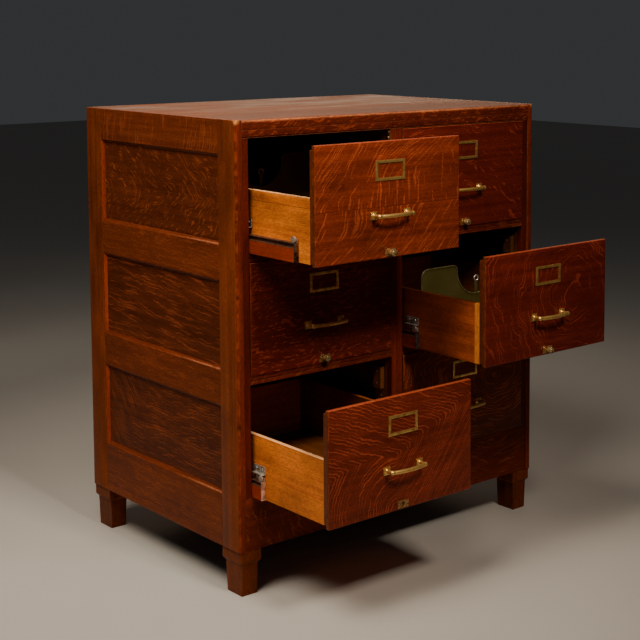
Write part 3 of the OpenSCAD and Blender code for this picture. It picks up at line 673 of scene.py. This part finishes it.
def build_side_panels():
    low_panel = wood("low_panel_oak", PANEL_STAIN, (0, CASE_MIDDLE, 0.372), FORWARD, UP, feather, seed=21.0,
                     shine=0.07, lines=230.0, wander=0.012, length=0.07, cover=0.14, even=0.35,
                     strength=0.55)
    middle_panel = wood("middle_panel_oak", PANEL_STAIN, (0, CASE_MIDDLE, 0.67), FORWARD, UP, straight(-5),
                        seed=22.0, shine=0.07, lines=200.0, wander=0.014, size=0.10, length=0.10,
                        cover=0.18, even=0.15, strength=0.62)
    top_panel = wood("top_panel_oak", TOP_PANEL_STAIN, (0, CASE_MIDDLE, 0.955), FORWARD, UP, arrowheads(38),
                     seed=23.0, shine=0.07, lines=210.0, wander=0.04, length=0.035, cover=0.17,
                     strength=0.55)
    fields = (low_panel, middle_panel, top_panel)
    # A painted highlight along each lower moulding, running back from the front stile
    highlight_lines = [((HALF_WIDTH, CASE_FRONT + FRONT_STILE, low), (0.03, 0.26, 0.005), HIGHLIGHT_RED)
                    for low in PANEL_LOWS]
    moulding = wood("moulding_oak", MOULDING_STAIN, (0, CASE_MIDDLE, 0), FORWARD, UP, seed=24.0, wear=0.0,
                    shine=0.12, marks=highlight_lines)
    # Moulding faces that turn to the front are stained brighter, as painted light from the front
    front_lit_moulding = wood("front_lit_moulding_oak", FRONT_LIT_STAIN, (0, CASE_MIDDLE, 0), UP, BACK, seed=19.0,
                            wear=0.0, shine=0.1)

    def panel_piece(middle, normal):
        if abs(middle.x) > HALF_WIDTH - PANEL_SINK + HAIR:
            # Faces that turn to the front take the brighter moulding, painted light
            return front_lit_moulding if normal.y < FRONTWARD else moulding
        return fields[sum(middle.z > low - MIDDLE_RAIL / 2 for low in PANEL_LOWS[1:])]

    finished("side_panels", *fields, moulding, front_lit_moulding, where=panel_piece, ease=0.0004)


def build_case():
    build_side_frames()
    build_top_and_front()
    build_side_panels()

    upright = wood("back_stile_oak", PANEL_STAIN, (0, 0, 0), UP, RIGHT, seed=25.0, gloss=0.6)
    level = wood("back_rail_oak", PANEL_STAIN, (0, 0, 0), RIGHT, UP, straight(10), seed=26.0, gloss=0.6,
                 lines=200.0, length=0.03, cover=0.1)
    low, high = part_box("case_back")

    def back_board(middle, normal):
        return level if middle.z < low[2] + BACK_RAIL or middle.z > high[2] - BACK_RAIL else upright

    finished("case_back", upright, level, where=back_board)
    finished("feet", wood("foot_oak", BROWN_STAIN, (0, 0, 0), UP, RIGHT, seed=27.0, shine=0.06),
             ease=0.0015)
    # The inner case takes the dark inner wood, painted shade inside the case
    finished("inner_case", wood("inner_wood", INNER, (0, 0, 0), BACK, UP, seed=28.0, gloss=0.6))
    runner = wood("runner_wood", RUNNER, (0, 0, 0), BACK, UP, seed=29.0, gloss=0.6)
    post = wood("post_wood", RUNNER, (0, 0, 0), UP, RIGHT, seed=30.0, gloss=0.55)
    finished("case_runners", runner, post, ease=0.0006,
             where=lambda middle, normal: post if middle.y < CASE_FRONT + POST_DEPTH else runner)


# Drawers

def build_front(drawer, seed, end):
    oak = front_finish(drawer, seed)
    finished(drawer + "_front", oak, end, ease=0.001,
             where=lambda middle, normal: end if abs(normal.x) > FACING or normal.y > FACING else oak)


def build_box(drawer, finishes):
    low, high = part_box(drawer + "_front")
    centre = (low[0] + high[0]) / 2
    mended = drawer == MENDED
    strip_end = low[1] + MENDED_STRIP
    side_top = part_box(drawer + "_box")[0][2] + BOX_SIDE_TOP
    side = finishes["dark_shaded_side" if mended else "jointed_side" if drawer == JOINTED else "side"]

    def box_board(middle, normal):
        # Inner faces and the floor take the darker inside wood, painted shade within the box
        inside = (middle.x - centre) * normal.x < -HAIR
        if inside or normal.z > FACING and middle.z < low[2] + FLOOR_REACH:
            return finishes["inside"]
        if middle.y < low[1] + INNER_FRONT_BACK:
            return finishes["inner_front"]
        if mended and middle.y < strip_end:
            return finishes["strip"]
        if normal.z > FACING and abs(middle.z - side_top) < 10 * HAIR:
            if mended:
                return finishes["inner_front"]
            # Only the near side's upper edge takes the pale wood, a painted highlight
            if middle.x < centre:
                return finishes["highlit_edge"]
        return side if abs(normal.x) > FACING else finishes["cross"]

    finished(drawer + "_box", side, finishes["cross"], finishes["inside"], finishes["inner_front"],
             finishes["strip"], finishes["highlit_edge"], where=box_board,
             parting=strip_end if mended else None)


def build_slides(drawer, finishes):
    front_low, front_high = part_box(drawer + "_front")
    centre = (front_low[0] + front_high[0]) / 2
    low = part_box(drawer + "_slides")[0]
    plate = finishes["bright_plate" if drawer == BRIGHT else "end_plate"]

    def slide_part(middle, normal):
        if middle.z > low[2] + SLIDE_TOP:
            return finishes["nickel"]
        if middle.y < low[1] + END_PLATE_BACK:
            return plate
        return finishes["track" if middle.z > low[2] + TRACK_LOW else "slide"]

    slides = finished(drawer + "_slides", finishes["slide"], finishes["track"], plate, finishes["nickel"],
                      where=slide_part, ease=0.0005)
    across, up = END_PLATE_SCREW
    heads = [((centre + side * across, low[1], low[2] + up), FORWARD, 30) for side in (-1, 1)]
    cut_slots(slides, END_PLATE_SCREW_R, heads)


def build_fittings(drawer, finishes):
    """The pull, card frame, rod plate, brackets and rollers of a drawer."""
    low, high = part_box(drawer + "_front")
    centre = (low[0] + high[0]) / 2
    brass, dark_brass = finishes["brass"], finishes["dark_brass"]
    finished(drawer + "_pull", brass, ease=0.0003)

    def card_frame_or_rod_plate(middle, normal):
        return dark_brass if middle.z < low[2] + ROD_PLATE_TOP else brass

    fittings = finished(drawer + "_fittings", brass, dark_brass, where=card_frame_or_rod_plate, ease=0.0004)
    across, back, up = ROD_PLATE_SCREW
    heads = [((centre + side * across, low[1] + back, low[2] + up), FORWARD, 40) for side in (-1, 1)]
    cut_slots(fittings, ROD_PLATE_SCREW_R, heads)

    bracket_finish = finishes["nickel" if drawer == BRIGHT else "steel"]
    brackets = finished(drawer + "_brackets", bracket_finish, ease=0.0003)
    heads = [((centre + side * across, low[1] + back, low[2] + up), (side, 0, 0), 15)
             for side in (-1, 1) for across, back, up in BRACKET_SCREWS]
    cut_slots(brackets, BRACKET_SCREW_R, heads)
    finished(drawer + "_rollers", finishes["steel"], ease=0.0002)


def build_rod_and_follower(drawer, finishes):
    low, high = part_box(drawer + "_front")
    lever_middle = (low[0] + high[0]) / 2 + LEVER_ACROSS
    lever_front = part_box(drawer + "_follower")[0][1] + LEVER_FRONT
    nickel, knob, green = finishes["nickel"], finishes["old_brass"], finishes["green"]
    finished(drawer + "_rod", nickel, knob, ease=0.0002,
             where=lambda middle, normal: knob if middle.y < low[1] + KNOB_BACK else nickel)

    def follower_part(middle, normal):
        beside = abs(middle.x - lever_middle) > LEVER_REACH
        below = middle.z < low[2] + LEVER_LOW
        return green if middle.y < lever_front or beside or below else nickel

    finished(drawer + "_follower", green, nickel, where=follower_part, ease=0.0)


def build_bay_hardware(steel, plate_brass, glinting_screw_brass):
    """Screws in the posts beside the bays, and the catch plate on the middle stile."""
    head = screw_head(POST_SCREW_R, POST_SCREW_HEIGHT)
    heads = []
    for drawer in DRAWERS:
        low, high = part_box(drawer + "_front")
        middle = (low[0] + high[0]) / 2
        for side in (-1, 1):
            for across, back, up, turn in POST_SCREWS:
                place = (middle + side * across, CASE_FRONT + back, low[2] + up)
                heads.append(placed(head, place, (-side, 0, 0), turn))
    bpy.data.objects.remove(head)
    post_screws = joined("post_screws", heads)

    face = -HALF_MULLION - CATCH_OUT
    catch_plate = block((face, CASE_FRONT + CATCH_FRONT, CATCH_LOW),
                        (-HALF_MULLION + CATCH_IN, CASE_FRONT + CATCH_BACK, CATCH_HIGH))
    apply(catch_plate, "BEVEL", width=0.0003, segments=2)
    catch_plate.name = "catch_plate"
    head = screw_head(CATCH_SCREW_R, CATCH_SCREW_HEIGHT)
    behind = CASE_FRONT + (CATCH_FRONT + CATCH_BACK) / 2
    heads = [placed(head, (face, behind, up), (-1, 0, 0), turn)
             for up, turn in ((CATCH_LOW + CATCH_SCREW_INSET, 25), (CATCH_HIGH - CATCH_SCREW_INSET, -50))]
    bpy.data.objects.remove(head)
    catch_screws = joined("catch_screws", heads)

    for piece, finish, slot in ((post_screws, steel, "steel"), (catch_plate, plate_brass, "brass"),
                                (catch_screws, glinting_screw_brass, "brass")):
        piece.data.materials.clear()
        piece.data.materials.append(finish)
        pick(piece)
        bpy.ops.object.shade_smooth_by_angle(angle=math.radians(30))
        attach(piece, "case")


def drawer_finishes():
    return {
        "end": wood("front_end_oak", END_STAIN, (0, 0, 0), BACK, UP, seed=36.0, gloss=0.5),
        "side": wood("drawer_side_wood", HONEY, (0, 0, 0), BACK, UP, seed=31.0, gloss=0.42, wear=0.5,
                     blotches=0.42),
        "jointed_side": wood("jointed_side_wood", HONEY, (0, 0, 0), BACK, UP, seed=39.0, gloss=0.42, wear=0.5,
                             blotches=0.55, joints=(SIDE_JOINT,)),
        "highlit_edge": wood("highlit_edge_wood", PALE_EDGE_HIGHLIGHT, (0, 0, 0), BACK, RIGHT, seed=40.0, gloss=0.5),
        # The middle right drawer's sides: darker and redder, partly as painted shade
        "dark_shaded_side": wood("dark_shaded_side_wood", TAN, (0, 0, 0), BACK, UP, seed=37.0, gloss=0.46, wear=0.0,
                          blotches=0.4),
        "strip": wood("mended_strip_wood", END_GRAIN, (0, 0, 0), UP, BACK, seed=38.0, gloss=0.42),
        "cross": wood("drawer_cross_wood", HONEY, (0, 0, 0), RIGHT, UP, seed=32.0, gloss=0.42),
        "inside": wood("drawer_inside_shaded_wood", SHADED_INSIDE, (0, 0, 0), BACK, UP, seed=33.0, gloss=0.5),
        "inner_front": wood("inner_front_wood", END_STAIN, (0, 0, 0), RIGHT, UP, seed=34.0, gloss=0.45),
        "slide": wood("slide_wood", MAHOGANY, (0, 0, 0), BACK, UP, seed=35.0, gloss=0.4),
        "brass": metal("brass", (226, 180, 100), (172, 126, 62), 0.28, metallic=0.85),
        "old_brass": metal("old_brass", (244, 214, 146), (58, 42, 22), 0.2, spots=220.0, metallic=0.85),
        "steel": metal("steel", (176, 172, 164), (96, 84, 72), 0.34, metallic=0.7),
        "track": metal("rusty_track", (104, 66, 44), (66, 34, 22), 0.42, metallic=0.4),
        "end_plate": metal("dull_steel", (122, 114, 104), (48, 40, 33), 0.34, metallic=0.9),
        "bright_plate": metal("bright_plate", (232, 184, 152), (164, 112, 86), 0.32, metallic=0.5),
        "dark_brass": metal("dark_brass", (158, 112, 62), (86, 58, 30), 0.3, spots=160.0, metallic=0.5),
        # Pale, nearly matte brass for the catch screws: worn brass and partly a painted glint
        "worn_brass_glint": metal("worn_brass_glint", (255, 244, 206), (222, 196, 140), 0.3, metallic=0.1),
        "nickel": metal("nickel", (214, 208, 196), (140, 128, 110), 0.24, metallic=0.75),
        "green": paint("green_paint", (66, 60, 24), (120, 112, 84)),
    }


def build_drawers():
    finishes = drawer_finishes()
    for number, drawer in enumerate(DRAWERS):
        build_front(drawer, number + 1.0, finishes["end"])
        build_box(drawer, finishes)
        build_slides(drawer, finishes)
        build_fittings(drawer, finishes)
        if drawer != RODLESS:
            build_rod_and_follower(drawer, finishes)
    build_bay_hardware(finishes["steel"], finishes["dark_brass"], finishes["worn_brass_glint"])


# Room

def floor():
    bpy.ops.object.select_all(action="DESELECT")
    bpy.ops.mesh.primitive_plane_add(size=24, location=(0, 3, 0))
    ground = bpy.context.object
    ground.name = "floor"
    finish = Finish("floor_paint")
    cloud = finish.noise(finish.place, scale=1.2, detail=4.0)
    finish.set(Base_Color=finish.mix(cloud, colour(160, 154, 144), colour(176, 170, 160)))
    finish.set(Roughness=cloud.spread(0.3, 0.7, 0.55, 0.75))
    ground.data.materials.append(finish.material)


def soft_light(name, place, target, width, height, power, tint, cone=80):
    """A rectangular lamp whose light stays within a cone, and which the camera doesn't see."""
    lamp = bpy.data.lights.new(name, "AREA")
    lamp.shape = "RECTANGLE"
    lamp.size = width
    lamp.size_y = height
    lamp.energy = power
    lamp.color = tint
    lamp.spread = math.radians(cone)
    holder = bpy.data.objects.new(name, lamp)
    bpy.context.collection.objects.link(holder)
    holder.location = place
    holder.rotation_euler = (Vector(target) - Vector(place)).to_track_quat("-Z", "Y").to_euler()
    holder.visible_camera = False


def lights():
    soft_light("key", (-0.42, -2.45, 2.95), (-0.78, -0.15, 1.00), width=0.55, height=0.55, power=21,
               tint=(1.0, 0.88, 0.76))
    soft_light("above", (-1.75, -0.55, 3.20), (-0.45, 0.05, 0.7), width=1.5, height=1.5, power=28,
               tint=(1.0, 0.90, 0.78))
    soft_light("sheen", (2.9, 3.4, 2.0), (0.1, 0.1, 1.15), width=3.4, height=0.9, power=3.8,
               tint=(1.0, 0.69, 0.46))
    world = bpy.data.worlds.new("studio")
    bpy.context.scene.world = world
    world.use_nodes = True
    background = world.node_tree.nodes["Background"]
    background.inputs["Color"].default_value = (0.30, 0.31, 0.33, 1.0)
    background.inputs["Strength"].default_value = 0.12


def camera():
    """A camera at the photograph's angle, placed from the lower left front corner of the case."""
    from_corner = Vector((-1.87629, -2.74999, 1.38655))
    yaw, pitch, roll = 0.72057, -0.093035, -0.00089
    focal_px, middle_px, frame_px = 1422.08, (408.58, 153.40), 640
    eye = bpy.data.cameras.new("camera")
    eye.sensor_width = 36.0
    eye.lens = focal_px / frame_px * eye.sensor_width
    eye.shift_x = 0.5 - middle_px[0] / frame_px
    eye.shift_y = middle_px[1] / frame_px - 0.5
    holder = bpy.data.objects.new("camera", eye)
    bpy.context.collection.objects.link(holder)
    turn = Matrix.Rotation(-yaw, 4, "Z") @ Matrix.Rotation(math.pi / 2 + pitch, 4, "X")
    turn = turn @ Matrix.Rotation(roll, 4, "Z")
    place = Vector((-HALF_WIDTH, CASE_FRONT, 0)) + from_corner
    holder.matrix_world = Matrix.Translation(place) @ turn
    bpy.context.scene.camera = holder


camera()
build_case()
build_drawers()
floor()
lights()
